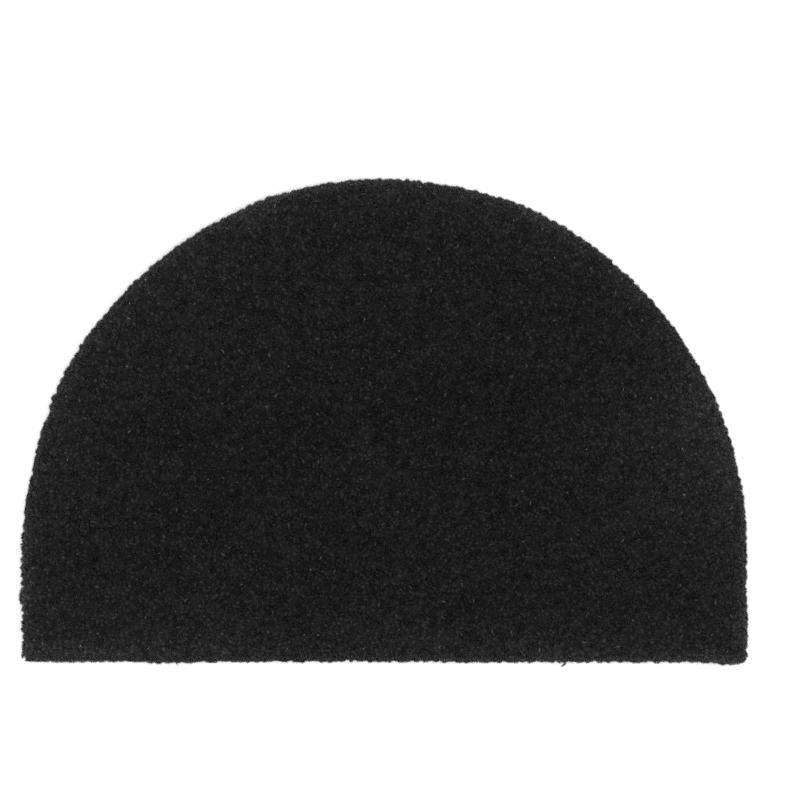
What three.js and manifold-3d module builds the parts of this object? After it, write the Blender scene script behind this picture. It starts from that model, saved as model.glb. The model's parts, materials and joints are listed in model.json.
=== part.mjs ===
// A half-round doormat of black coir: bristles standing in a PVC sheet that is cut to the same outline.
// Millimetres, +Z up. X runs along the straight front edge and +Y points to the crown of the arc.
// The origin is on the floor, under the middle of the mat.

import * as THREE from 'three';
import { ImprovedNoise } from 'three/addons/math/ImprovedNoise.js';
import { mergeVertices } from 'three/addons/utils/BufferGeometryUtils.js';
import Module from 'manifold-3d';

const wasm = await Module();
wasm.setup();

// Driving dimensions: the outline over the bristle tips, and the thickness from the floor to the tips.
const WIDTH = 600;
const DEPTH = 400;
const THICKNESS = 15;
const BACKING_THICKNESS = 2.2;
const ROOT_GAP = 0.3; // between the backing and the roots of the bristles
const CORNER_CUT = 3; // chamfer of the two front corners
const CUT_WANDER = 0.2; // how far the knife strayed inwards along the backing's edge

// Bristles stand in locks. Along the rim each lock ends in a tip, and between two locks is a notch.
const LOCK_PITCH = 8;
const LOCK_REACH = 0.7;

// The walked-on face has low lumps, where locks lean together.
const LUMP_PITCH = 13;
const LUMP_HEIGHT = 1.5;
const LUMP_SCATTER = 0.18; // how far a lump may stand off its even spacing, as a share of it

const SIDE = DEPTH - WIDTH / 2; // length of the straight left and right sides
const FRONT_Y = -DEPTH / 2;
const PILE_BASE = BACKING_THICKNESS + ROOT_GAP;
const ABOVE_PILE = 1; // how far the rim's body stands above the pile before its top is cut

// The rim, which was cut by hand and has been walked on.
// cut: how far the backing's edge lies outside the nominal outline. tips: how far the bristles reach past it.
// at: on the front, millimetres from the middle; on the sides, millimetres from the front edge; on the arc,
// the bearing in degrees from the right.
const RIM = {
  front: [
    { at: -300, cut: -0.4, tips: -2.6 },
    { at: -215, cut: -0.3, tips: -2.2 },
    { at: -190, cut: -1.2, tips: 0.9 },
    { at: 0, cut: -1.2, tips: 1.2 },
    { at: 262, cut: -1.2, tips: 1.3 },
    { at: 280, cut: -1.2, tips: 3.5 },
    { at: 293, cut: -1.2, tips: 3.3 },
    { at: 300, cut: -1.2, tips: 1.4 },
  ],
  right: [
    { at: 0, cut: -1.6, tips: 1.0 },
    { at: 22, cut: -1.4, tips: 2.0 },
    { at: 60, cut: -1.4, tips: 1.0 },
    { at: 100, cut: -1.4, tips: 1.2 },
  ],
  arc: [
    { at: 0, cut: -1.4, tips: 1.2 },
    { at: 10, cut: -2.5, tips: 1.2 },
    { at: 30, cut: -3.8, tips: 1.2 },
    { at: 45, cut: -3.6, tips: 1.2 },
    { at: 56, cut: -2.4, tips: 1.2 },
    { at: 67, cut: -1.1, tips: 1.2 },
    { at: 80, cut: -2.2, tips: 1.0 },
    { at: 92, cut: -1.9, tips: 1.5 },
    { at: 110, cut: -1.6, tips: 1.5 },
    { at: 117, cut: -2.5, tips: 1.0 },
    { at: 140, cut: -3.9, tips: 1.2 },
    { at: 146, cut: -3.2, tips: 2.0 },
    { at: 157, cut: -2.6, tips: 1.3 },
    { at: 166, cut: -3.6, tips: 0.9 },
    { at: 175, cut: -2.4, tips: 0.9 },
    { at: 180, cut: -1.5, tips: 1.0 },
  ],
  left: [
    { at: 0, cut: -1.2, tips: -0.4 },
    { at: 30, cut: -1.4, tips: 0.4 },
    { at: 37, cut: -1.4, tips: -0.6 },
    { at: 46, cut: -1.4, tips: 1.2 },
    { at: 56, cut: -1.4, tips: 3.3 },
    { at: 64, cut: -1.4, tips: 1.6 },
    { at: 100, cut: -1.5, tips: 1.0 },
  ],
};

// The pile's side from the roots up over its rounded shoulder: the height, how far in it lies from the tips
// that reach furthest, and how much of a lock's reach shows at that height.
const SIDE_RINGS = [
  { z: PILE_BASE, inset: 1.0, lock: 0.3 },
  { z: 9.0, inset: 0.0, lock: 1.0 },
  { z: 12.6, inset: 1.1, lock: 0.9 },
  { z: 14.0, inset: 3.0, lock: 0.6 },
  { z: THICKNESS + ABOVE_PILE, inset: 7.0, lock: 0.2 },
];

// A number from 0 to 1 that is always the same for the same seed.
function chance(seed) {
  return THREE.MathUtils.seededRandom(seed);
}

// One column of a rim table, read between its rows.
function read(rows, at, column) {
  const next = Math.max(1, rows.findIndex((row) => row.at >= at));
  const share = (at - rows[next - 1].at) / (rows[next].at - rows[next - 1].at);
  return THREE.MathUtils.lerp(rows[next - 1][column], rows[next][column], share);
}

// A place on the nominal outline drawn in by an inset, with the direction out of the mat there.
// share runs from 0 to 1 along the edge, in the sense in which the rim is walked.
function placeOn(edge, share, inset) {
  const half = WIDTH / 2 - inset;
  const low = FRONT_Y + inset;
  const top = FRONT_Y + SIDE;
  const between = (from, to) => THREE.MathUtils.lerp(from, to, share);
  if (edge === 'front') {
    return [new THREE.Vector2(between(-half + CORNER_CUT, half - CORNER_CUT), low), new THREE.Vector2(0, -1)];
  }
  if (edge === 'right') {
    return [new THREE.Vector2(half, between(low + CORNER_CUT, top)), new THREE.Vector2(1, 0)];
  }
  if (edge === 'left') {
    return [new THREE.Vector2(-half, between(top, low + CORNER_CUT)), new THREE.Vector2(-1, 0)];
  }
  const outward = new THREE.Vector2(Math.cos(Math.PI * share), Math.sin(Math.PI * share));
  return [outward.clone().multiplyScalar(half).add(new THREE.Vector2(0, top)), outward];
}

// The rim walked anticlockwise from the front left corner, in an even number of steps of about this length
// on each edge. The sides leave out the point that the arc has too.
function rimStations(step) {
  const edges = [
    { edge: 'front', from: -WIDTH / 2, to: WIDTH / 2, length: WIDTH, hasEnd: true },
    { edge: 'right', from: 0, to: SIDE, length: SIDE, hasEnd: false },
    { edge: 'arc', from: 0, to: 180, length: (Math.PI * WIDTH) / 2, hasEnd: false },
    { edge: 'left', from: SIDE, to: 0, length: SIDE, hasEnd: true },
  ];
  return edges.flatMap(({ edge, from, to, length, hasEnd }) => {
    const steps = 2 * Math.round(length / step / 2);
    return Array.from({ length: hasEnd ? steps + 1 : steps }, (_, i) => {
      const at = THREE.MathUtils.lerp(from, to, i / steps);
      return { edge, share: i / steps, cut: read(RIM[edge], at, 'cut'), tips: read(RIM[edge], at, 'tips') };
    });
  });
}

// A mesh with only positions, where each corner is held once.
function merged(geometry) {
  geometry.deleteAttribute('normal');
  geometry.deleteAttribute('uv');
  return mergeVertices(geometry, 1e-4);
}

function solidOf(geometry) {
  const mesh = new wasm.Mesh({
    numProp: 3,
    vertProperties: new Float32Array(geometry.attributes.position.array),
    triVerts: new Uint32Array(geometry.index.array),
  });
  return new wasm.Manifold(mesh);
}

function geometryOf(solid) {
  const mesh = solid.getMesh();
  const geometry = new THREE.BufferGeometry();
  geometry.setAttribute('position', new THREE.BufferAttribute(new Float32Array(mesh.vertProperties), 3));
  geometry.setIndex(new THREE.BufferAttribute(new Uint32Array(mesh.triVerts), 1));
  geometry.computeVertexNormals();
  return geometry;
}

// A closed body through level rings of equally many points, from the lowest ring to the highest.
function ringBody(rings) {
  const count = rings[0].length;
  const top = (rings.length - 1) * count;
  const faces = [];
  for (let low = 0; low < top; low += count) {
    for (let i = 0; i < count; i += 1) {
      const a = low + i;
      const b = low + ((i + 1) % count);
      faces.push(a, b, b + count, a, b + count, a + count);
    }
  }
  const capOf = (ring) => THREE.ShapeUtils.triangulateShape(ring.map((p) => new THREE.Vector2(p.x, p.y)), []);
  capOf(rings[0]).forEach(([a, b, c]) => faces.push(c, b, a));
  capOf(rings.at(-1)).forEach(([a, b, c]) => faces.push(top + a, top + b, top + c));
  const geometry = new THREE.BufferGeometry().setFromPoints(rings.flat());
  return geometry.setIndex(faces);
}

// The mat's rim, with its locks and its rounded shoulder, a little taller than the pile.
function rimBody() {
  const stations = rimStations(LOCK_PITCH / 2);
  const rings = SIDE_RINGS.map(({ z, inset, lock }) =>
    stations.map(({ edge, share, cut, tips }, i) => {
      const [point, outward] = placeOn(edge, share, inset);
      const wander = i % 2 === 0 ? chance(i) : -chance(i);
      point.addScaledVector(outward, cut + tips + lock * LOCK_REACH * wander);
      return new THREE.Vector3(point.x, point.y, z);
    }),
  );
  return ringBody(rings);
}

// A block with the lumps of the walked-on face on its top. Its bottom is level with the roots.
function lumpyBlock() {
  const width = WIDTH + 2 * LUMP_PITCH;
  const depth = DEPTH + 2 * LUMP_PITCH;
  const across = Math.round(width / LUMP_PITCH);
  const along = Math.round(depth / LUMP_PITCH);
  const block = merged(new THREE.BoxGeometry(width, depth, 1, across, along, 1));
  const noise = new ImprovedNoise();
  const spots = block.attributes.position;
  for (let i = 0; i < spots.count; i += 1) {
    const x = spots.getX(i);
    const y = spots.getY(i);
    if (spots.getZ(i) < 0) {
      spots.setZ(i, PILE_BASE);
      continue;
    }
    const overMat = Math.abs(x) < WIDTH / 2 && Math.abs(y) < DEPTH / 2;
    const scatter = overMat ? LUMP_SCATTER * LUMP_PITCH : 0;
    const swell = 0.5 + 0.5 * noise.noise(x / LUMP_PITCH, y / LUMP_PITCH, 0.5);
    const drop = LUMP_HEIGHT * swell * chance(i);
    spots.setXYZ(i, x + scatter * (2 * chance(i + 1) - 1), y + scatter * (2 * chance(i + 2) - 1), THICKNESS - drop);
  }
  return block;
}

function pileGeometry() {
  return geometryOf(solidOf(merged(rimBody())).intersect(solidOf(lumpyBlock())));
}

// The backing is cut almost clean, so its outline has no locks.
function backingGeometry() {
  const points = rimStations(LOCK_PITCH).map(({ edge, share, cut }, i) => {
    const [point, outward] = placeOn(edge, share, 0);
    return point.addScaledVector(outward, cut - CUT_WANDER * chance(i));
  });
  return new THREE.ExtrudeGeometry(new THREE.Shape(points), { depth: BACKING_THICKNESS, bevelEnabled: false });
}

const coir = new THREE.MeshStandardMaterial({ color: 0x1e1e1f, roughness: 0.85, metalness: 0 });
const pvc = new THREE.MeshStandardMaterial({ color: 0x151516, roughness: 0.6, metalness: 0 });

const pile = new THREE.Mesh(pileGeometry(), coir);
pile.name = 'pile';
const backing = new THREE.Mesh(backingGeometry(), pvc);
backing.name = 'backing';

const doormat = new THREE.Group();
doormat.add(backing, pile);

// The tufts that stand out of the rim make the box a little uneven, so the pieces move to its middle.
const middle = new THREE.Box3().setFromObject(doormat).getCenter(new THREE.Vector3());
doormat.children.forEach((piece) => piece.position.set(-middle.x, -middle.y, 0));

export default doormat;
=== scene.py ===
# %% [markdown]
# # A half-round coir doormat
# The real mat is a thin black PVC sheet with a dense pile of dyed coconut fibre standing in it.
# Sheet and pile are cut together to a half round: one straight edge in front, two short straight
# sides and a round back. Seen from above only the ends of the bristles show, as a fine grain of lit
# tips over dark gaps.
#
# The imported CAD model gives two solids, the backing and a lumpy block for the pile. The backing
# stays and gets a finish. The block is too plain to show, so it guides the rest: the bristles' tips
# lie near its surface, and along its sides the bristles reach down to the backing.

# %% Load the frame
import json
import math
import random

import bmesh
import bpy
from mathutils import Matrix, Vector, noise

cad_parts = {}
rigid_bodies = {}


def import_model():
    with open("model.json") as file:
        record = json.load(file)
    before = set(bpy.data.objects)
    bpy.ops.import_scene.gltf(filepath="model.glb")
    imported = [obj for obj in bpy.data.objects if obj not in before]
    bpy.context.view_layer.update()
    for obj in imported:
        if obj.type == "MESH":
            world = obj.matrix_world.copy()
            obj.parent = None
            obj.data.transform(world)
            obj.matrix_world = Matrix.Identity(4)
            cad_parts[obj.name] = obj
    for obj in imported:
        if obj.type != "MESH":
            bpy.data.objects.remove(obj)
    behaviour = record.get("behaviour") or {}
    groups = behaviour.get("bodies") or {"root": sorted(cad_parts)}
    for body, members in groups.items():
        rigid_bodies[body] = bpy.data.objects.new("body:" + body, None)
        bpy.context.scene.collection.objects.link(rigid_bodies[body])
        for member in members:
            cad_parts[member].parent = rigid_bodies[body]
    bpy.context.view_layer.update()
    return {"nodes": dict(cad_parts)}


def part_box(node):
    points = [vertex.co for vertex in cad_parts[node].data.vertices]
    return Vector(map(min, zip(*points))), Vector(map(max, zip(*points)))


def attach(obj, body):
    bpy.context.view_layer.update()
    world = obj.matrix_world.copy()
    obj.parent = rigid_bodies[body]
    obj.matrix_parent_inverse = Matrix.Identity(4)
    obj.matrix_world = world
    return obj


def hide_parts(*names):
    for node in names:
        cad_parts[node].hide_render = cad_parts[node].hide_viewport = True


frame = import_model()
MM = 0.001

# %% [markdown]
# ## The camera
# The mat is seen from straight above and fills most of the width. A long lens two metres up shows
# just a sliver of the bristles' sides along the rim, and more of it the further it lies from the
# middle of the picture. A new camera looks straight down with Y up in the picture, so it needs no
# turn. It stands a little to the right of the mat's middle and behind it, because the mat lies left
# of and below the middle of the picture. The scale holds at the height where the pile is widest.

# %% Place the camera
PICTURE_SIDE = 800
PIXELS_PER_MM = 1.2078
PICTURE_MIDDLE = (13.45 * MM, 18.1 * MM)
SENSOR = 36
CAMERA_HEIGHT = 2.0
WIDEST_AT = 9 * MM

camera_data = bpy.data.cameras.new("camera")
camera_data.sensor_width = SENSOR
camera_data.lens = SENSOR * CAMERA_HEIGHT / (PICTURE_SIDE / PIXELS_PER_MM * MM)
camera = bpy.data.objects.new("camera", camera_data)
camera.location = (*PICTURE_MIDDLE, WIDEST_AT + CAMERA_HEIGHT)
bpy.context.collection.objects.link(camera)
bpy.context.scene.camera = camera
print("lens in mm:", round(camera_data.lens, 1))

# %% [markdown]
# ## Nodes written as expressions
# Materials and Geometry Nodes are both node trees. Wiring them line by line hides what they work
# out, so one small class wraps an output socket and turns Python's operators into Math nodes, and
# one method adds any other node.

# %% A socket that takes part in sums
class Wire:
    """An output socket. A sum on it adds Math nodes to its tree."""

    def __init__(self, graph, socket):
        self.graph = graph
        self.socket = socket

    def also(self, output):
        """Another output of the same node."""
        return Wire(self.graph, self.socket.node.outputs[output])

    def math(self, operation, *values):
        return self.graph.node("ShaderNodeMath", dict(enumerate(values)), operation=operation)

    def __add__(self, other):
        return self.math("ADD", self, other)

    def __radd__(self, other):
        return self.math("ADD", other, self)

    def __sub__(self, other):
        return self.math("SUBTRACT", self, other)

    def __rsub__(self, other):
        return self.math("SUBTRACT", other, self)

    def __mul__(self, other):
        return self.math("MULTIPLY", self, other)

    def __rmul__(self, other):
        return self.math("MULTIPLY", other, self)

    def __truediv__(self, other):
        return self.math("DIVIDE", self, other)

    def __rtruediv__(self, other):
        return self.math("DIVIDE", other, self)

    def __mod__(self, other):
        return self.math("FLOORED_MODULO", self, other)

    def __gt__(self, other):
        return self.math("GREATER_THAN", self, other)

    def __lt__(self, other):
        return self.math("LESS_THAN", self, other)


# %% A tree that grows by one method
class Graph:
    """A node tree, for a material or for Geometry Nodes."""

    def __init__(self, tree):
        self.tree = tree

    def node(self, kind, values=None, **settings):
        """Adds a node, sets its settings, then its sockets' values or links. Gives its first output."""
        made = self.tree.nodes.new(kind)
        for name, setting in settings.items():
            setattr(made, name, setting)
        for key, value in (values or {}).items():
            if isinstance(value, Wire):
                self.tree.links.new(value.socket, made.inputs[key])
            else:
                made.inputs[key].default_value = value
        return Wire(self, made.outputs[0]) if len(made.outputs) else made

    def vector(self, operation, *values, **more):
        """A Vector Math node."""
        sockets = dict(enumerate(values))
        sockets.update({key.title(): value for key, value in more.items()})
        return self.node("ShaderNodeVectorMath", sockets, operation=operation)


# %% [markdown]
# ## The mat's plan
# The half round is simple enough to measure anywhere: the distance to the nearest edge is the
# distance to the arc behind, and to the straight edges in front. It tells the rim from the middle.

# %% Plan of the half round, from the backing
low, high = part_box("backing")
HALF_WIDTH = (high[0] - low[0]) / 2
MIDDLE_X = (high[0] + low[0]) / 2
FRONT_Y = low[1]
ARC_Y = high[1] - HALF_WIDTH


def rim_distance(x, y):
    """How far inside the cut edge a point of the plan lies, in metres."""
    from_arc = HALF_WIDTH - math.hypot(x - MIDDLE_X, max(0.0, y - ARC_Y))
    return min(from_arc, y - FRONT_Y)


print("half width", round(HALF_WIDTH / MM, 1), "mm, middle at x", round(MIDDLE_X / MM, 2), "mm")
print("straight sides", round((ARC_Y - FRONT_Y) / MM, 1), "mm long")
print("front edge at y", round(FRONT_Y / MM, 2), "mm")

# %% [markdown]
# ## The coir
# Dyed coir is almost black and matt, with a faint sheen along each fibre. No two fibres take the
# dye alike, so each bristle has a shade and each lock of bristles a tone. Both are attributes of
# the mesh, which the material reads. A bristle is painted darker towards its root, as shade deep in
# the pile. Slow noise over the whole mat adds the clouding that handling and uneven brushing leave,
# and a list of soft spots on the plan paints light and shade: a rim lighter from dust and painted
# light, painted light on both ends and where the roots show, and painted shade with faint marks in
# the middle. A few spots are just lighter or darker patches.

# %% Start of a material
def shader(name):
    """A new material, its graph and its main shader."""
    material = bpy.data.materials.new(name)
    material.use_nodes = True
    return material, Graph(material.node_tree), material.node_tree.nodes["Principled BSDF"]


def plug(graph, value, surface, socket):
    graph.tree.links.new(value.socket, surface.inputs[socket])


def carried(graph, name):
    """A number that the mesh carries under that name."""
    return graph.node("ShaderNodeAttribute", attribute_name=name).also("Fac")


# %% Clouding
ALONG_THE_ROWS = (0.75, 1.0, 1.0)
CLOUDS_PER_METRE = 12
CLUMPS_PER_METRE = 260


def clouding(graph):
    """A factor near 1 that drifts over the mat, with clouds and clumps drawn out along the rows."""
    place = graph.node("ShaderNodeTexCoord").also("Object")
    rows = graph.vector("MULTIPLY", place, ALONG_THE_ROWS)
    cloud = graph.node("ShaderNodeTexNoise", {"Vector": rows, "Scale": CLOUDS_PER_METRE, "Detail": 3})
    clump = graph.node("ShaderNodeTexNoise", {"Vector": rows, "Scale": CLUMPS_PER_METRE, "Detail": 1})
    return 0.61 + 0.5 * cloud + 0.27 * clump


# %% A soft spot on the plan
def spot(at, middle_x, middle_y, width, height):
    """1 at the middle of an oval, with its place and half sizes in mm, and fading to 0 outside it."""
    across = (at - middle_x * MM) / (width * MM)
    along = (at.also("Y") - middle_y * MM) / (height * MM)
    return at.math("EXPONENT", 0 - (across * across + along * along))


# %% Painted light and shade at the rim and over the plan
# How much lighter the rim gets, from dust and painted light on the splayed sides of its bristles, and
# over how many mm that fades inwards.
RIM_SHEEN_AND_DUST = [(1.9, 3), (0.8, 12), (0.4, 60)]
# Spots of painted light and shade, and a few plain patches: how much lighter or darker a spot is, then
# its x, y and half sizes in mm.
PAINTED_LIGHT_SPOTS_AND_PATCHES = {
    # Painted light: the right end lighter, where its fibres catch the light from the right.
    "right end": [(0.42, 245, -25, 55, 60), (0.5, 272, 35, 30, 55)],
    # Darker on the right side, towards the front.
    "right side": [(-0.2, 298, -125, 22, 50)],
    # Painted light: the left end lighter, most towards the front corner.
    "left end": [(0.1, -200, 120, 90, 90), (0.2, -260, -190, 160, 60)],
    # Lighter patches.
    "patches": [(0.1, -110, 130, 70, 40), (0.12, -160, -60, 30, 30)],
    # Painted light on the sides of the bristles that lean back at the front left.
    "painted light where roots show": [(0.85, -250, -197, 62, 11)],
    # Painted shade in a line where the pile is parted, with a painted lighter band beside it.
    "streak": [(0.08, -15, -16, 15, 90), (-0.14, 5, -16, 6, 90)],
    # Painted shade: the middle darker than the ends.
    "middle": [(-0.09, 110, -15, 90, 90), (-0.09, 0, -165, 150, 40)],
}


def painted_light_and_marks(graph):
    """A factor near 1 for painted light and shade at the rim and in spots over the plan, with some dust
    at the rim and a few lighter patches.
    """
    place = graph.node("ShaderNodeTexCoord").also("Object")
    at = graph.node("ShaderNodeSeparateXYZ", {0: place})
    y = at.also("Y")
    across = at - MIDDLE_X
    back = at.math("MAXIMUM", y - ARC_Y, 0)
    from_arc = HALF_WIDTH - at.math("SQRT", across * across + back * back)
    inside = at.math("MAXIMUM", at.math("MINIMUM", from_arc, y - FRONT_Y), 0)
    factor = 1
    for amount, depth in RIM_SHEEN_AND_DUST:
        factor = factor + amount * at.math("EXPONENT", inside / (-depth * MM))
    for spots in PAINTED_LIGHT_SPOTS_AND_PATCHES.values():
        for amount, *oval in spots:
            factor = factor + amount * spot(at, *oval)
    return factor


# %% Coir of the bristles
COIR = (0.0181, 0.0180, 0.0183)
# Painted shade: how dark a bristle gets at its root, as deep in the pile, against 1 at its tip.
PAINTED_ROOT_SHADE = 0.45


def finish_coir():
    """Almost black, with painted shade towards the root and painted light and shade from the plan's
    spots, and a faint sheen.
    """
    material, graph, surface = shader("dyed coir")
    # The shade attribute holds each bristle's own dye and, in the locks, painted shade on the outer
    # bristles.
    dye = carried(graph, "tone") * carried(graph, "shade")
    shade = dye * clouding(graph) * painted_light_and_marks(graph)
    # Painted shade: darker towards the root, as deep in the pile.
    lit = shade * (PAINTED_ROOT_SHADE + (1 - PAINTED_ROOT_SHADE) * carried(graph, "height"))
    plug(graph, graph.vector("SCALE", COIR, scale=lit), surface, "Base Color")
    plug(graph, 0.80 - 0.08 * shade, surface, "Roughness")
    surface.inputs["Specular IOR Level"].default_value = 0.1
    return material


coir = finish_coir()
print("finish:", coir.name)

# %% Coir down between the bristles
def finish_undergrowth():
    """Dark crossed fibres, which bump makes stand out, darker on the whole than the bristles as painted
    shade of the deep gaps.
    """
    material, graph, surface = shader("coir below the tips")
    place = graph.node("ShaderNodeTexCoord").also("Object")
    fibres = graph.node("ShaderNodeTexNoise", {
        "Vector": place, "Scale": 900, "Detail": 3, "Distortion": 2.5,
    })
    # Painted shade: the strands run darker than the bristles on the whole, for the gaps deep in the
    # pile.
    strands = 0.25 + 1.4 * fibres * fibres
    colour = graph.vector("SCALE", COIR, scale=strands * clouding(graph) * painted_light_and_marks(graph))
    plug(graph, colour, surface, "Base Color")
    plug(graph, 0.95 - 0.1 * fibres, surface, "Roughness")
    relief = graph.node("ShaderNodeBump", {"Strength": 1.0, "Distance": 0.9 * MM, "Height": fibres})
    plug(graph, relief, surface, "Normal")
    surface.inputs["Specular IOR Level"].default_value = 0.05
    return material


undergrowth = finish_undergrowth()
print("finish:", undergrowth.name)

# %% [markdown]
# ## The skin that guides the bristles
# The CAD block's mesh is a heap of loose triangles, so a copy of it is merged into one closed skin.
# It never shows: the trees below scatter locks over its top, and the tips of the rim's bristles
# over its side.

# %% Merge a copy of the CAD block
SAME_POINT = 1e-6


def mesh_object(name, mesh):
    thing = bpy.data.objects.new(name, mesh)
    bpy.context.collection.objects.link(thing)
    return thing


def merged_copy(node, name):
    """One closed mesh from a CAD node's loose triangles."""
    shape = bmesh.new()
    shape.from_mesh(frame["nodes"][node].data)
    bmesh.ops.remove_doubles(shape, verts=shape.verts, dist=SAME_POINT)
    mesh = bpy.data.meshes.new(name)
    shape.to_mesh(mesh)
    shape.free()
    mesh.materials.clear()
    return mesh_object(name, mesh)


skin = merged_copy("pile", "skin")
print("skin:", len(skin.data.polygons), "faces")

# %% [markdown]
# ## The bed between the bristles
# A look down between two locks ends in a tangle of dark fibre. Modelling it would cost millions of
# faces that nobody sees, so a closed body stands for it: the skin pulled in at the rim and pressed
# down below the tips, split once more and roughened. At the left of the front edge the bristles
# lean back over the mat and their roots show, so the bed reaches out a little there.

# %% Press the skin down into a bed
PILE_BASE = 2.5 * MM
PRESSED_TO = 0.67
RIM_PULL = 1.1 * MM
RIM_BAND = 16 * MM
PULL_TOWARDS_Y = ARC_Y + 60 * MM
LUMPS_PER_METRE = 260
LUMP = 0.9 * MM
# The stretch where the bristles lean back: its x, y and half sizes in mm, and how far the bed and
# the tips reach out there.
LEANING_BACK = (-262, -197, 85, 5)
BED_REACH = 3.1 * MM
TIP_REACH = 2.4 * MM


def make_bed():
    """The skin pulled in at its rim, pressed down and roughened."""
    shape = bmesh.new()
    shape.from_mesh(skin.data)
    bmesh.ops.subdivide_edges(shape, edges=shape.edges, cuts=1, use_grid_fill=True)
    for point in shape.verts:
        x, y, z = point.co
        near = max(0.0, 1 - max(0.0, rim_distance(x, y)) / RIM_BAND)
        inward = Vector((MIDDLE_X - x, PULL_TOWARDS_Y - y, 0)).normalized()
        away_x = (x / MM - LEANING_BACK[0]) / LEANING_BACK[2]
        away_y = (y / MM - LEANING_BACK[1]) / LEANING_BACK[3]
        leaning = math.exp(-(away_x ** 4 + away_y ** 2))
        point.co += inward * RIM_PULL * near - Vector((0, BED_REACH * leaning, 0))
        lift = noise.noise(point.co * LUMPS_PER_METRE) * LUMP
        if z > PILE_BASE + MM:
            point.co.z = PILE_BASE + (z - PILE_BASE) * PRESSED_TO + lift
    bmesh.ops.triangulate(shape, faces=shape.faces)
    bmesh.ops.recalc_face_normals(shape, faces=shape.faces)
    mesh = bpy.data.meshes.new("pile_bed")
    shape.to_mesh(mesh)
    shape.free()
    mesh.materials.append(undergrowth)
    for face in mesh.polygons:
        face.use_smooth = True
    return mesh_object("pile_bed", mesh)


pile_bed = make_bed()
print("bed:", len(pile_bed.data.polygons), "faces")

# %% [markdown]
# ## Bristles and strands, by hand
# Geometry Nodes will repeat a few small shapes tens of thousands of times, so each shape has only
# the faces it needs. A bristle of the top is a wedge with four faces: a short edge at its root and
# another across it at its tip, which looks equally wide from all sides. A strand is a three-sided
# rod along a few points, for the bristles of the rim and the loose fibres. Every shape carries its
# shade, the height along it, and a small patch of the texture map.

# %% Collect fibres into one small mesh
MAP = "OFBake"


class Bunch:
    """Fibres that become one small mesh."""

    def __init__(self):
        self.points = []
        self.heights = []
        self.faces = []
        self.shades = []
        self.map = []

    def face(self, corners, shade, places):
        """A face with its shade and its corners' places on the texture map."""
        self.faces.append(corners)
        self.shades.append(shade)
        self.map.extend(places)

    def wedge(self, root, tip, width, turn, shade, patch):
        """A bristle of four faces from root to tip."""
        first = len(self.points)
        low = Vector((math.cos(turn), math.sin(turn), 0)) * width / 2
        high = Vector((-math.sin(turn), math.cos(turn), 0)) * width / 2
        corners = [root + low, root - low, tip + high, tip - high]
        if (corners[1] - corners[0]).cross(corners[2] - corners[0]).dot(corners[3] - corners[0]) < 0:
            corners[2], corners[3] = corners[3], corners[2]
        self.points.extend(corners)
        self.heights.extend([0, 0, 1, 1])
        spots = [patch(0, 0), patch(1, 0), patch(0, 1), patch(1, 1)]
        for face in ((0, 2, 1), (0, 1, 3), (1, 2, 3), (0, 3, 2)):
            self.face([first + k for k in face], shade, [spots[k] for k in face])

    def strand(self, path, widths, heights, shade, patch):
        """A three-sided rod along the path, closed at both ends."""
        first = len(self.points)
        last = len(path) - 1
        for k, (middle, width) in enumerate(zip(path, widths)):
            along = (path[min(k + 1, last)] - path[max(k - 1, 0)]).normalized()
            side = along.orthogonal().normalized()
            over = along.cross(side)
            for corner in range(3):
                angle = corner * math.tau / 3
                out = side * math.cos(angle) + over * math.sin(angle)
                self.points.append(middle + out * width / 2)
                self.heights.append(heights[k])
        for k in range(last):
            low, high = k / last, (k + 1) / last
            for corner in range(3):
                a = first + 3 * k + corner
                b = first + 3 * k + (corner + 1) % 3
                spots = [patch(0, low), patch(1, low), patch(1, high), patch(0, high)]
                self.face([a, b, b + 3, a + 3], shade, spots)
        end = first + 3 * last
        start_spots = [patch(0, 0), patch(1, 0), patch(0.5, 0.2)]
        end_spots = [patch(0, 1), patch(1, 1), patch(0.5, 0.8)]
        self.face([first + 2, first + 1, first], shade, start_spots)
        self.face([end, end + 1, end + 2], shade, end_spots)

    def done(self, name):
        """An object of all the fibres so far."""
        mesh = bpy.data.meshes.new(name)
        mesh.from_pydata([tuple(p) for p in self.points], [], self.faces)
        mesh.attributes.new("height", "FLOAT", "POINT").data.foreach_set("value", self.heights)
        mesh.attributes.new("shade", "FLOAT", "FACE").data.foreach_set("value", self.shades)
        numbers = [number for place in self.map for number in place]
        mesh.uv_layers.new(name=MAP).data.foreach_set("uv", numbers)
        return bpy.data.objects.new(name, mesh)


# %% Patches of the texture map
MARGIN = 0.15
USED = 1 - 2 * MARGIN


def patch_of(column, row, columns, rows):
    """A function from (across, along) within one patch of the unit square to its place there."""
    def place(across, along):
        return ((column + MARGIN + USED * across) / columns, (row + MARGIN + USED * along) / rows)
    return place


WHOLE_PATCH = patch_of(0, 0, 1, 1)


# %% Shelves of variants
def variants_of(name, make, count):
    """A collection of that many shapes, which stays out of the scene."""
    shelf = bpy.data.collections.new(name)
    for number in range(count):
        shelf.objects.link(make(number))
    faces = sum(len(p.vertices) - 2 for p in shelf.objects[0].data.polygons)
    print(name + ":", count, "variants of", faces, "triangles")
    return shelf


# %% [markdown]
# ## Locks of the top
# The tufting needle sets a lock of bristles at a time. Brushed and sheared, each lock leans its own
# way and its tips draw together a little, which gives the top its grain: round tufts of lit tips
# with dark gaps between them. So a variant holds thirteen bristles that lean alike, the middle ones
# longest and painted lightest, the outer ones painted darker as shade among their neighbours, and
# four of the twelve variants hold a bristle or two that took less dye.
# The bristles fan out from the middle by the golden angle, as seeds do in a sunflower, which
# spreads them evenly.

# %% Lock variants
LOCK_VARIANTS = 12
BRISTLES = 13
LOCK_RADIUS = 1.6 * MM
ROOT_DEPTH = 5.5 * MM
GOLDEN_ANGLE = 2.4
LESS_DYED_SHARE = 0.06
PATCHES = 4


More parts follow.
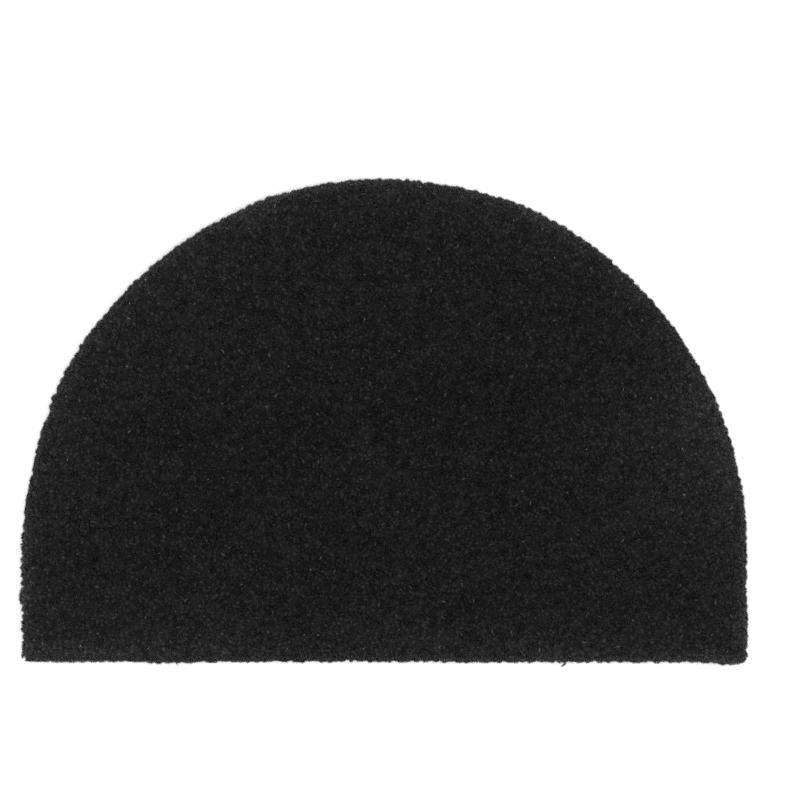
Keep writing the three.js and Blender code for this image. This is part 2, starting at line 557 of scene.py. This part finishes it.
def lock(number):
    """Bristles around a middle, with their tips near height 0."""
    chance = random.Random(100 + number)
    bunch = Bunch()
    lean = math.radians(chance.uniform(8, 30))
    toward = chance.uniform(0, math.tau)
    for k in range(BRISTLES):
        reach = LOCK_RADIUS * math.sqrt((k + 0.5) / BRISTLES)
        outer = (reach / LOCK_RADIUS) ** 2
        angle = GOLDEN_ANGLE * k + chance.uniform(-0.5, 0.5)
        tip = Vector((reach * math.cos(angle), reach * math.sin(angle), 0))
        tip.z = (0.35 - 0.9 * outer + chance.uniform(-0.35, 0.35)) * MM
        own_lean = lean + math.radians(chance.uniform(-12, 12))
        own_way = toward + chance.uniform(-0.7, 0.7)
        drop = ROOT_DEPTH + tip.z
        back = Vector((math.cos(own_way), math.sin(own_way), 0)) * drop * math.tan(own_lean)
        root = Vector((tip.x, tip.y, -ROOT_DEPTH)) - back
        # Painted shade: the outer bristles of a lock darker, the middle ones lighter.
        shade = chance.uniform(0.72, 1.28) * (1.3 - 0.55 * outer)
        if chance.random() < LESS_DYED_SHARE:
            shade = chance.uniform(1.6, 2.6)
        width = chance.uniform(0.48, 0.72) * MM
        patch = patch_of(k % PATCHES, k // PATCHES, PATCHES, PATCHES)
        bunch.wedge(root, tip, width, chance.uniform(0, math.pi), shade, patch)
    return bunch.done("lock_%02d" % number)


locks = variants_of("lock variants", lock, LOCK_VARIANTS)

# %% [markdown]
# ## A tree that scatters
# Poisson points keep a least distance from each other, as locks set by a needle do, and still fall
# in no rows. At each point the tree puts one variant, turned and tilted at random. The locks and
# the loose fibres differ only in the tree's inputs. The tree runs once for each strip of the mat,
# because one mesh of everything would be too big to handle, and it finds the same points each time.

# %% Inputs and random numbers of a tree
def new_tree(name, inputs):
    """An empty Geometry Nodes tree with named inputs: its graph, and a function that reads an input."""
    tree = bpy.data.node_groups.new(name, "GeometryNodeTree")
    tree.interface.new_socket(name="Guide", in_out="INPUT", socket_type="NodeSocketGeometry")
    for label, kind in inputs.items():
        tree.interface.new_socket(name=label, in_out="INPUT", socket_type="NodeSocket" + kind)
    tree.interface.new_socket(name="Fibres", in_out="OUTPUT", socket_type="NodeSocketGeometry")
    graph = Graph(tree)
    entry = graph.node("NodeGroupInput")
    return graph, entry.also


def random_number(graph, low, high, seed):
    """A number for each point. The node has sockets of every type, so they go by their places in it."""
    values = {2: low, 3: high, 8: seed}
    return graph.node("FunctionNodeRandomValue", values, data_type="FLOAT").also(1)


def random_choice(graph, count, seed):
    """A whole number from 0 to count - 1 for each point."""
    values = {4: 0, 5: count - 1, 8: seed}
    return graph.node("FunctionNodeRandomValue", values, data_type="INT").also(2)


# %% The end that both trees share
def store(graph, geometry, name, value, domain, kind="FLOAT"):
    """Writes a named attribute."""
    values = {"Geometry": geometry, "Name": name, "Value": value}
    return graph.node("GeometryNodeStoreNamedAttribute", values, data_type=kind, domain=domain)


def finish_tree(graph, instances, cells, material):
    """Gives each instance its own cell of the texture map, makes it real and sets its material.

    The map has that many cells a side, enough for one to each instance.
    """
    numbered = store(graph, instances, "cell", graph.node("GeometryNodeInputIndex"), "INSTANCE")
    real = graph.node("GeometryNodeRealizeInstances", {"Geometry": numbered})
    cell = graph.node("GeometryNodeInputNamedAttribute", {"Name": "cell"}, data_type="FLOAT")
    column = cell % cells
    row = cell.math("FLOOR", cell / cells)
    corner = graph.node("ShaderNodeCombineXYZ", {"X": column, "Y": row})
    own = graph.node("GeometryNodeInputNamedAttribute", {"Name": MAP}, data_type="FLOAT_VECTOR")
    place = graph.vector("SCALE", graph.vector("ADD", own, corner), scale=1 / cells)
    mapped = store(graph, real, MAP, place, "CORNER", "FLOAT2")
    made = graph.node("GeometryNodeSetMaterial", {"Geometry": mapped, "Material": material})
    exit_node = graph.tree.nodes.new("NodeGroupOutput")
    graph.tree.links.new(made.socket, exit_node.inputs["Fibres"])


# %% The scattering tree
# Poisson points are picked from this many tries on a square metre.
TRIES_PER_AREA = 1.5e6


def scattering_tree():
    """Scatters variants over the level top of the skin, between two places across."""
    graph, given = new_tree("scatter on the skin", {
        "Spacing": "Float", "Least upright": "Float", "From x": "Float", "To x": "Float",
        "Variants": "Collection", "Number of variants": "Int", "Tilt": "Float", "Least size": "Float",
        "Greatest size": "Float", "Least tone": "Float", "Greatest tone": "Float", "Cells": "Float",
        "Seed": "Int", "Material": "Material",
    })
    facing = graph.node("ShaderNodeSeparateXYZ", {0: graph.node("GeometryNodeInputNormal")}).also("Z")
    points = graph.node("GeometryNodeDistributePointsOnFaces", {
        "Mesh": given("Guide"), "Selection": facing > given("Least upright"),
        "Distance Min": given("Spacing"), "Density Max": TRIES_PER_AREA, "Seed": given("Seed"),
    }, distribute_method="POISSON")
    x = graph.node("ShaderNodeSeparateXYZ", {0: graph.node("GeometryNodeInputPosition")}).also("X")
    within = (x > given("From x")) * (x < given("To x"))
    strip = graph.node(
        "GeometryNodeSeparateGeometry", {"Geometry": points, "Selection": within}, domain="POINT"
    )
    tilt = given("Tilt")
    turned = graph.node("ShaderNodeCombineXYZ", {
        "X": random_number(graph, 0 - tilt, tilt, 1),
        "Y": random_number(graph, 0 - tilt, tilt, 2),
        "Z": random_number(graph, 0, math.tau, 3),
    })
    shelf = graph.node("GeometryNodeCollectionInfo", {
        "Collection": given("Variants"), "Separate Children": True, "Reset Children": True,
    })
    size = random_number(graph, given("Least size"), given("Greatest size"), 4)
    placed = graph.node("GeometryNodeInstanceOnPoints", {
        "Points": strip, "Instance": shelf, "Pick Instance": True,
        "Instance Index": random_choice(graph, given("Number of variants"), 5),
        "Rotation": graph.node("FunctionNodeEulerToRotation", {0: turned}), "Scale": size,
    })
    tone = random_number(graph, given("Least tone"), given("Greatest tone"), 6)
    toned = store(graph, placed, "tone", tone, "INSTANCE")
    finish_tree(graph, toned, given("Cells"), given("Material"))
    return graph.tree


scatter = scattering_tree()
print("tree:", scatter.name, "with", len(scatter.nodes), "nodes")

# %% Run a tree and keep its result as a plain mesh
def grow(name, tree, inputs):
    """Runs the tree on a copy of the skin. A modifier's input goes by its socket's identifier."""
    host = mesh_object(name + "_host", skin.data.copy())
    modifier = host.modifiers.new("grow", "NODES")
    modifier.node_group = tree
    for item in tree.interface.items_tree:
        if item.in_out == "INPUT" and item.name in inputs:
            modifier[item.identifier] = inputs[item.name]
    evaluated = host.evaluated_get(bpy.context.evaluated_depsgraph_get())
    mesh = bpy.data.meshes.new_from_object(evaluated)
    bpy.data.objects.remove(host)
    mesh.name = name
    triangles = sum(len(p.vertices) - 2 for p in mesh.polygons)
    highest = max(v.co.z for v in mesh.vertices)
    print(name + ":", triangles, "triangles, up to z", round(highest / MM, 2), "mm")
    return mesh_object(name, mesh)


# %% Grow the locks strip by strip
STRIPS = {
    "pile_locks_left": (-400, -128), "pile_locks_mid_left": (-128, 1),
    "pile_locks_mid_right": (1, 130), "pile_locks_right": (130, 400),
}
LOCKS = {
    "Spacing": 3.0 * MM, "Least upright": 0.93, "Variants": locks, "Number of variants": LOCK_VARIANTS,
    "Tilt": 0.12, "Least size": 0.85, "Greatest size": 1.15, "Least tone": 0.94, "Greatest tone": 1.06,
    "Cells": 68.0, "Seed": 11, "Material": coir,
}
top = [
    grow(name, scatter, {**LOCKS, "From x": low * MM, "To x": high * MM})
    for name, (low, high) in STRIPS.items()
]

# %% [markdown]
# ## Bristles of the rim
# Along the cut edge the pile is open to the side, so whole bristles show there, from the backing
# up, and they splay outwards a little because nothing holds them back. Their tips are what the
# skin's side and shoulder give, locks and stray tufts included. So the tree scatters tips over the
# side of the skin, and hangs from each tip a bristle that is long enough to reach down to the
# backing. A slow noise moves neighbours in or out together, which makes the small tufts of the
# outline. The tree runs twice: for the outermost bristles, and for plainer ones that fill the rows
# behind them.

# %% Rim bristle variants
RIM_VARIANTS = 8


def rim_bristle(number):
    """A bristle that hangs one unit down from its tip, for the tree to stretch."""
    chance = random.Random(300 + number)
    bend = chance.uniform(0.1, 0.7) * MM
    way = chance.uniform(0, math.tau)
    middle = Vector((bend * math.cos(way), bend * math.sin(way), chance.uniform(-0.6, -0.4)))
    tip = Vector((0, 0, chance.uniform(-0.05, 0.05)))
    width = chance.uniform(0.5, 0.75) * MM
    bunch = Bunch()
    path = [Vector((0, 0, -1)), middle, tip]
    bunch.strand(path, [width, width, 0.75 * width], [0, 0.6, 1], 1, WHOLE_PATCH)
    return bunch.done("rim_bristle_%02d" % number)


rim_shapes = variants_of("rim bristle variants", rim_bristle, RIM_VARIANTS)

# %% Filling variants
FILLING_VARIANTS = 4


def filling_bristle(number):
    """A wider, plainer bristle, for the rows just behind the outermost ones."""
    chance = random.Random(400 + number)
    root = Vector((0, 0, -1))
    tip = Vector((chance.uniform(-0.3, 0.3) * MM, chance.uniform(-0.3, 0.3) * MM, 0))
    width = chance.uniform(0.8, 1.0) * MM
    bunch = Bunch()
    bunch.wedge(root, tip, width, chance.uniform(0, math.pi), 0.8, WHOLE_PATCH)
    return bunch.done("filling_bristle_%02d" % number)


filling_shapes = variants_of("filling variants", filling_bristle, FILLING_VARIANTS)

# %% Tufts and dents of the outline
# The whole left side sticks out a little and is more ragged, and the middle of the front edge lies
# further in. Both are ovals with their x, y and half sizes in mm.
LEFT_SIDE = (-300, -145, 60, 60)
LEFT_SIDE_REACH = 0.5 * MM
HOLLOW = (-20, -199, 85, 20)
HOLLOW_DEPTH = 0.7 * MM
# Single tufts and dents: x, y, half size and how far out, in mm. The first squares off the front
# right corner.
TUFTS = [
    (302, -198, 5, 1.4), (-301, -110.5, 6, 1.0), (-301, -136.5, 5, -2.6), (-302, -143.5, 3, 1.6),
    (-301, -157.5, 3.5, 1.8), (-301, -162.5, 2.5, -1.4), (-299, -83, 5, -1.6), (-292, -39, 5, -1.5),
    (-293, -46, 4, -1.2), (-279, 7, 5, -1.8), (-233, 90, 4, -1.0), (-119, 176, 4, -1.2),
    (-55, 197, 5, -1.2), (193.5, 129.5, 4, -1.2), (-8.5, -199, 5, 0.8), (-38, -199, 5, 0.7),
    (273.5, -200, 4, -1.0), (235.5, -199, 4, -1.0),
]

# %% The rim's tree
RIM_TRIES_PER_AREA = 8e6
TUFTS_PER_METRE = 230
UNDERSIDE = -0.6
WANDER = 0.07
LEAN_BACK = 0.12


def rim_tree():
    """Hangs bristles from tips that are scattered over the side of the skin."""
    graph, given = new_tree("bristles along the rim", {
        "Spacing": "Float", "Most upright": "Float", "Lowest tip": "Float", "Root height": "Float",
        "Splay": "Float", "Reach": "Float", "Raggedness": "Float", "Variants": "Collection",
        "Number of variants": "Int", "Least tone": "Float", "Greatest tone": "Float", "Cells": "Float",
        "Seed": "Int", "Material": "Material",
    })
    facing = graph.node("ShaderNodeSeparateXYZ", {0: graph.node("GeometryNodeInputNormal")}).also("Z")
    sideways = (facing < given("Most upright")) * (facing > UNDERSIDE)
    tips = graph.node("GeometryNodeDistributePointsOnFaces", {
        "Mesh": given("Guide"), "Selection": sideways, "Distance Min": given("Spacing"),
        "Density Max": RIM_TRIES_PER_AREA, "Seed": given("Seed"),
    }, distribute_method="POISSON")
    place = graph.node("GeometryNodeInputPosition")
    at = graph.node("ShaderNodeSeparateXYZ", {0: place})
    high_enough = at.also("Z") > given("Lowest tip")
    drop = at.also("Z") - given("Root height")
    leaning = spot(at, *LEANING_BACK)
    outward = graph.vector("NORMALIZE", graph.vector("MULTIPLY", tips.also("Normal"), (1, 1, 0)))
    wander = graph.node("ShaderNodeCombineXYZ", {
        "X": random_number(graph, -WANDER, WANDER, 3),
        "Y": random_number(graph, -WANDER, WANDER, 4),
        "Z": 1.0,
    })
    splay = given("Splay") * random_number(graph, 0.3, 1.7, 5) * (1 - leaning) - LEAN_BACK * leaning
    hang = graph.vector("ADD", wander, graph.vector("SCALE", outward, scale=splay))
    upright = graph.node("FunctionNodeAlignRotationToVector", {"Vector": hang}, axis="Z")
    spin = graph.node("FunctionNodeAxisAngleToRotation", {
        "Axis": (0, 0, 1), "Angle": random_number(graph, 0, math.tau, 6),
    })
    turned = graph.node(
        "FunctionNodeRotateRotation", {"Rotation": upright, "Rotate By": spin}, rotation_space="LOCAL"
    )
    length = drop * graph.vector("LENGTH", hang).also("Value")
    stretch = graph.node("ShaderNodeCombineXYZ", {"X": 1.0, "Y": 1.0, "Z": length})
    shelf = graph.node("GeometryNodeCollectionInfo", {
        "Collection": given("Variants"), "Separate Children": True, "Reset Children": True,
    })
    bunching = graph.node("ShaderNodeTexNoise", {
        "Vector": place, "Scale": TUFTS_PER_METRE, "Detail": 0,
    })
    left_side = spot(at, *LEFT_SIDE)
    ragged = given("Raggedness") * (2 * bunching - 1) * (1 + left_side - 0.7 * leaning)
    outline = LEFT_SIDE_REACH * left_side + TIP_REACH * leaning - HOLLOW_DEPTH * spot(at, *HOLLOW)
    for x, y, half, out in TUFTS:
        outline = outline + out * MM * spot(at, x, y, half, half)
    reach = given("Reach") * random_number(graph, 0.6, 1, 7) + ragged + outline
    offset = graph.vector("SCALE", outward, scale=reach)
    stray = graph.node("GeometryNodeSetPosition", {"Geometry": tips, "Offset": offset})
    placed = graph.node("GeometryNodeInstanceOnPoints", {
        "Points": stray, "Selection": high_enough, "Instance": shelf, "Pick Instance": True,
        "Instance Index": random_choice(graph, given("Number of variants"), 8), "Rotation": turned,
        "Scale": stretch,
    })
    tone = random_number(graph, given("Least tone"), given("Greatest tone"), 9)
    toned = store(graph, placed, "tone", tone, "INSTANCE")
    finish_tree(graph, toned, given("Cells"), given("Material"))
    return graph.tree


bristles_of_the_rim = rim_tree()
print("tree:", bristles_of_the_rim.name, "with", len(bristles_of_the_rim.nodes), "nodes")

# %% Grow the rim and the rows behind it
# The rim's bristles take higher tones than the top's locks: painted light on their splayed sides.
RIM = {
    "Most upright": 0.93, "Root height": 2.6 * MM, "Splay": 0.3, "Raggedness": 1.9 * MM,
    "Least tone": 0.8, "Greatest tone": 1.6, "Material": coir,
}
rim = grow("pile_rim", bristles_of_the_rim, {
    **RIM, "Spacing": 0.88 * MM, "Lowest tip": 7.5 * MM, "Reach": 0.75 * MM, "Variants": rim_shapes,
    "Number of variants": RIM_VARIANTS, "Cells": 118.0, "Seed": 17,
})
filling = grow("pile_rim_filling", bristles_of_the_rim, {
    **RIM, "Spacing": 0.9 * MM, "Lowest tip": 6.5 * MM, "Reach": 0.15 * MM, "Variants": filling_shapes,
    "Number of variants": FILLING_VARIANTS, "Cells": 125.0, "Seed": 19,
})

# %% [markdown]
# ## Loose fibres
# Shearing and brushing leave fibres lying across the top, bent, with both ends down in the pile.
# They took the dye less well than the rest and catch the light, so they show as short curved
# strokes. One in ten is a pale speck. The same scattering tree lays them, far apart.

# %% Fibre variants
FIBRE_VARIANTS = 10
END_DEPTH = 1.1 * MM


def fibre(number):
    """A bow of four lengths. The first variant is a short pale speck, and the second is pale too."""
    chance = random.Random(500 + number)
    reach = chance.uniform(1.0, 2.6) * MM
    shade = chance.uniform(0.9, 1.5)
    if number == 0:
        reach = 0.7 * MM
        shade = 8.0
    if number == 1:
        shade = 3.0
    bow = chance.uniform(-0.4, 0.4) * reach
    rise = chance.uniform(0.1, 0.7) * MM
    width = chance.uniform(0.3, 0.42) * MM
    path = []
    for k in range(5):
        s = k / 2 - 1
        path.append(Vector((reach * s, bow * (1 - s * s), rise - (rise + END_DEPTH) * s * s)))
    bunch = Bunch()
    widths = [0.5 * width, width, width, width, 0.5 * width]
    bunch.strand(path, widths, [0.5, 0.8, 1, 0.8, 0.5], shade, WHOLE_PATCH)
    return bunch.done("fibre_%02d" % number)


fibres = variants_of("loose fibre variants", fibre, FIBRE_VARIANTS)
loose = grow("loose_fibres", scatter, {
    "Spacing": 11.0 * MM, "Least upright": 0.9, "From x": -0.4, "To x": 0.4, "Variants": fibres,
    "Number of variants": FIBRE_VARIANTS, "Tilt": 0.1, "Least size": 0.7, "Greatest size": 1.2,
    "Least tone": 0.8, "Greatest tone": 1.5, "Cells": 60.0, "Seed": 23, "Material": coir,
})

# %% [markdown]
# ## Stray hairs
# A pair of slanting bristles and a short one stick out from the front edge far enough to count as
# details. They are too few for a tree, so each is a strand with its own points.

# %% Hairs at the front edge
# The points and the width of each, in mm.
HAIRS = [
    ([(150.6, -198.2, 9.0), (149.2, -200.6, 9.5), (146.8, -202.8, 8.6)], 1.7),
    ([(151.0, -198.6, 8.4), (149.8, -201.0, 8.6), (148.2, -202.6, 8.0)], 1.7),
    ([(-171.6, -198.4, 9.0), (-171.2, -200.8, 9.4), (-170.6, -202.4, 9.2)], 0.9),
]


def stray_hairs():
    """Three strands in one mesh, which carries the tone that the trees give to the other bristles."""
    bunch = Bunch()
    for number, (points, width) in enumerate(HAIRS):
        path = [Vector(point) * MM for point in points]
        widths = [width * MM, width * MM, 0.7 * width * MM]
        bunch.strand(path, widths, [0.5, 0.7, 0.8], 0.6, patch_of(number, 0, len(HAIRS), 1))
    hairs = bunch.done("stray_hairs")
    tone = hairs.data.attributes.new("tone", "FLOAT", "FACE")
    tone.data.foreach_set("value", [1.0] * len(hairs.data.polygons))
    hairs.data.materials.append(coir)
    bpy.context.collection.objects.link(hairs)
    return hairs


hairs = stray_hairs()
print("stray hairs:", len(hairs.data.polygons), "faces")

# %% [markdown]
# ## The PVC backing
# The backing is a rolled sheet of soft PVC, black all through and matt, with the faint grain of the
# belt it cured on. Its shape in the frame is right, so it stays, with a finish of its own.

# %% Finish of the backing
PVC = (0.0085, 0.0085, 0.009)


def finish_backing():
    """Matt and black, with scuffs in tone and sheen and a fine grain in relief."""
    material, graph, surface = shader("matt PVC")
    place = graph.node("ShaderNodeTexCoord").also("Object")
    grain = graph.node("ShaderNodeTexNoise", {"Vector": place, "Scale": 1400, "Detail": 2})
    scuff = graph.node("ShaderNodeTexNoise", {"Vector": place, "Scale": 35, "Detail": 4})
    plug(graph, graph.vector("SCALE", PVC, scale=0.75 + 0.5 * scuff), surface, "Base Color")
    plug(graph, 0.5 + 0.25 * scuff, surface, "Roughness")
    relief = graph.node("ShaderNodeBump", {"Strength": 0.35, "Distance": 0.1 * MM, "Height": grain})
    plug(graph, relief, surface, "Normal")
    surface.inputs["Specular IOR Level"].default_value = 0.3
    return material


backing = frame["nodes"]["backing"]
backing.data.materials.clear()
backing.data.materials.append(finish_backing())
print("backing:", [slot.name for slot in backing.material_slots])

# %% [markdown]
# ## Floor and light
# The mat lies on a pale floor under soft light from all round, strong enough to turn the floor
# white in the picture, so the mat throws no shadow to speak of. Two large lamps, high on the right
# and on the left, give the bristles a lit side. Without denoising and with a wide pixel filter the
# render keeps the grain of the pile, which denoising would take for noise.

# %% Floor
HALF_FLOOR = 8
FLOOR_Z = -0.2 * MM
PALE = (0.64, 0.64, 0.64)


def make_floor():
    """One big square, just below the mat."""
    signs = [(-1, -1), (1, -1), (1, 1), (-1, 1)]
    corners = [(x * HALF_FLOOR, y * HALF_FLOOR, FLOOR_Z) for x, y in signs]
    mesh = bpy.data.meshes.new("floor")
    mesh.from_pydata(corners, [], [(0, 1, 2, 3)])
    material, graph, surface = shader("pale floor")
    place = graph.node("ShaderNodeTexCoord").also("Object")
    tint = graph.node("ShaderNodeTexNoise", {"Vector": place, "Scale": 2})
    plug(graph, graph.vector("SCALE", PALE, scale=0.98 + 0.02 * tint), surface, "Base Color")
    surface.inputs["Roughness"].default_value = 0.9
    mesh.materials.append(material)
    return mesh_object("floor", mesh)


floor = make_floor()

# %% Light
def lamp(name, place, size, power):
    """A round lamp that faces the middle of the mat."""
    data = bpy.data.lights.new(name, "AREA")
    data.shape = "DISK"
    data.size = size
    data.energy = power
    thing = bpy.data.objects.new(name, data)
    thing.location = place
    thing.rotation_euler = (-Vector(place)).to_track_quat("-Z", "Y").to_euler()
    bpy.context.collection.objects.link(thing)


world = bpy.data.worlds.new("studio")
world.use_nodes = True
sky = world.node_tree.nodes["Background"]
sky.inputs["Color"].default_value = (1, 1, 1, 1)
sky.inputs["Strength"].default_value = 1.9
bpy.context.scene.world = world
bpy.context.scene.view_settings.view_transform = "Standard"
bpy.context.scene.cycles.use_denoising = False
bpy.context.scene.cycles.filter_width = 2.0
lamp("right", (2.2, 0.3, 1.8), 1.6, 50)
lamp("left", (-1.6, -1.2, 2.4), 1.6, 30)

# %% [markdown]
# ## Hand over to the frame
# The guide and the variants have done their work and go. Each piece rides on the mat's one body and
# stands for the CAD block.

bpy.data.objects.remove(skin)
for shelf in (locks, rim_shapes, filling_shapes, fibres):
    for shape in list(shelf.objects):
        bpy.data.objects.remove(shape)
    bpy.data.collections.remove(shelf)

on_bed = [*top, rim, filling, loose, hairs]
pile = [pile_bed, *on_bed]
for piece in pile:
    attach(piece, "root")
    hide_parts("pile")
